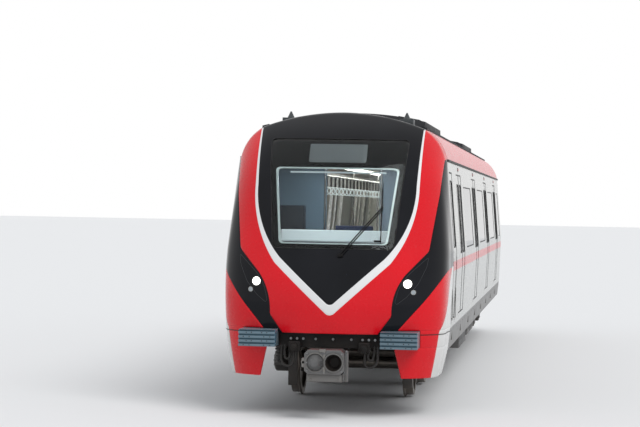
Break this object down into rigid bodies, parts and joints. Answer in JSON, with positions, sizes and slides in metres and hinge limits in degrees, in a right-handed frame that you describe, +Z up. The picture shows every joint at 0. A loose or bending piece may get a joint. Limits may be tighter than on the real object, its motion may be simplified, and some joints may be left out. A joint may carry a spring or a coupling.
{
  "type": "metro train lead car with driver's cab, trailer type",
  "caption": "Lead car of a metro train with a raked red nose, black windscreen mask, plug doors, two bogies and an automatic coupler.",
  "frame": {"origin": "half way between the cone tip of the front coupler and the gangway face, on the centre line, level with the wheel flange tips", "axes": "+Z up, -Y towards the cab and its coupler, +X to the right when looking at the cab from in front"},
  "size_m": [2.8, 21.05, 3.773],
  "materials": {
    "silver_paint": "gloss",
    "red_paint": "gloss",
    "gloss_black": "gloss",
    "border_white": "gloss",
    "clear_glass": "clear",
    "dark_glass": "tinted",
    "sill_grey": "satin",
    "roof_grey": "satin",
    "underframe_black": "satin",
    "equipment_grey": "satin",
    "anticlimber_blue": "satin",
    "cast_coupler": "rough",
    "bogie_paint": "satin",
    "wheel_steel": "worn",
    "bellows_rubber": "matte",
    "interior_panel": "satin",
    "desk_shell": "satin",
    "seat_cover": "woven",
    "bench_shell": "satin",
    "pole_steel": "satin",
    "lamp_lens": "clear",
    "display_panel": "gloss",
    "wiper_black": "satin"
  },
  "bodies": {
    "car": {"antennas": "equipment_grey", "anticlimbers": "anticlimber_blue", "benches": "bench_shell", "cab_partition": "interior_panel", "cantrails": "red_paint", "ceiling": "interior_panel", "corner_panels": "red_paint", "corner_sides": "silver_paint", "destination_display": "display_panel", "door_leaves": "silver_paint", "driver_desk": "desk_shell", "driver_seat": "seat_cover", "flanks": "gloss_black", "front_mask": "gloss_black", "gangway_bellows": "bellows_rubber", "gangway_frame": "equipment_grey", "grab_poles": "pole_steel", "gutters": "wiper_black", "headlamps": "lamp_lens", "mask_border": "border_white", "nose_panel": "red_paint", "pillar_panels": "red_paint", "rear_wall": "silver_paint", "roof": "roof_grey", "roof_units": "equipment_grey", "side_glass": "dark_glass", "side_wall_left": "silver_paint", "side_wall_right": "silver_paint", "sills": "sill_grey", "underframe": "underframe_black", "windscreen": "clear_glass", "wiper": "wiper_black", "air_reservoirs": "underframe_black", "battery_cases": "equipment_grey", "brake_case": "equipment_grey", "converter_case": "equipment_grey"},
    "bogie_front": {"bogie_frame_front": "bogie_paint", "axleboxes_front": "bogie_paint", "air_springs_front": "bellows_rubber", "brake_units_front": "cast_coupler"},
    "bogie_rear": {"bogie_frame_rear": "bogie_paint", "axleboxes_rear": "bogie_paint", "air_springs_rear": "bellows_rubber", "brake_units_rear": "cast_coupler"},
    "wheelset_1_body": {"wheelset_1": "wheel_steel"},
    "wheelset_2_body": {"wheelset_2": "wheel_steel"},
    "wheelset_3_body": {"wheelset_3": "wheel_steel"},
    "wheelset_4_body": {"wheelset_4": "wheel_steel"},
    "front_coupler": {"coupler": "cast_coupler"},
    "rear_coupler": {"rear_drawbar": "cast_coupler"},
    "left_cab_door": {"cab_door_left": "silver_paint", "cab_glass_left": "dark_glass"},
    "right_cab_door": {"cab_door_right": "silver_paint", "cab_glass_right": "dark_glass"}
  },
  "joints": [
    {"name": "bogie_front_swivel", "type": "hinge", "parent": "car", "child": "bogie_front", "pos_m": [0, -5.535, 0.658], "axis": [0, 0, 1], "range_deg": [-4, 4]},
    {"name": "bogie_rear_swivel", "type": "hinge", "parent": "car", "child": "bogie_rear", "pos_m": [0, 7.065, 0.658], "axis": [0, 0, 1], "range_deg": [-4, 4]},
    {"name": "wheelset_1_spin", "type": "hinge", "parent": "bogie_front", "child": "wheelset_1_body", "pos_m": [0, -6.635, 0.448], "axis": [1, 0, 0], "continuous": true},
    {"name": "wheelset_2_spin", "type": "hinge", "parent": "bogie_front", "child": "wheelset_2_body", "pos_m": [0, -4.435, 0.448], "axis": [1, 0, 0], "continuous": true},
    {"name": "wheelset_3_spin", "type": "hinge", "parent": "bogie_rear", "child": "wheelset_3_body", "pos_m": [0, 5.965, 0.448], "axis": [1, 0, 0], "continuous": true},
    {"name": "wheelset_4_spin", "type": "hinge", "parent": "bogie_rear", "child": "wheelset_4_body", "pos_m": [0, 8.165, 0.448], "axis": [1, 0, 0], "continuous": true},
    {"name": "coupler_swing", "type": "hinge", "parent": "car", "child": "front_coupler", "pos_m": [0, -9.175, 0.688], "axis": [0, 0, 1], "range_deg": [-15, 15]},
    {"name": "drawbar_swing", "type": "hinge", "parent": "car", "child": "rear_coupler", "pos_m": [0, 9.375, 0.688], "axis": [0, 0, 1], "range_deg": [-12, 12]},
    {"name": "left_cab_door_hinge", "type": "hinge", "parent": "car", "child": "left_cab_door", "pos_m": [-1.236, -7.745, 2], "axis": [0, 0, 1], "range_deg": [0, 85]},
    {"name": "right_cab_door_hinge", "type": "hinge", "parent": "car", "child": "right_cab_door", "pos_m": [1.236, -7.745, 2], "axis": [0, 0, 1], "range_deg": [-85, 0]}
  ]
}
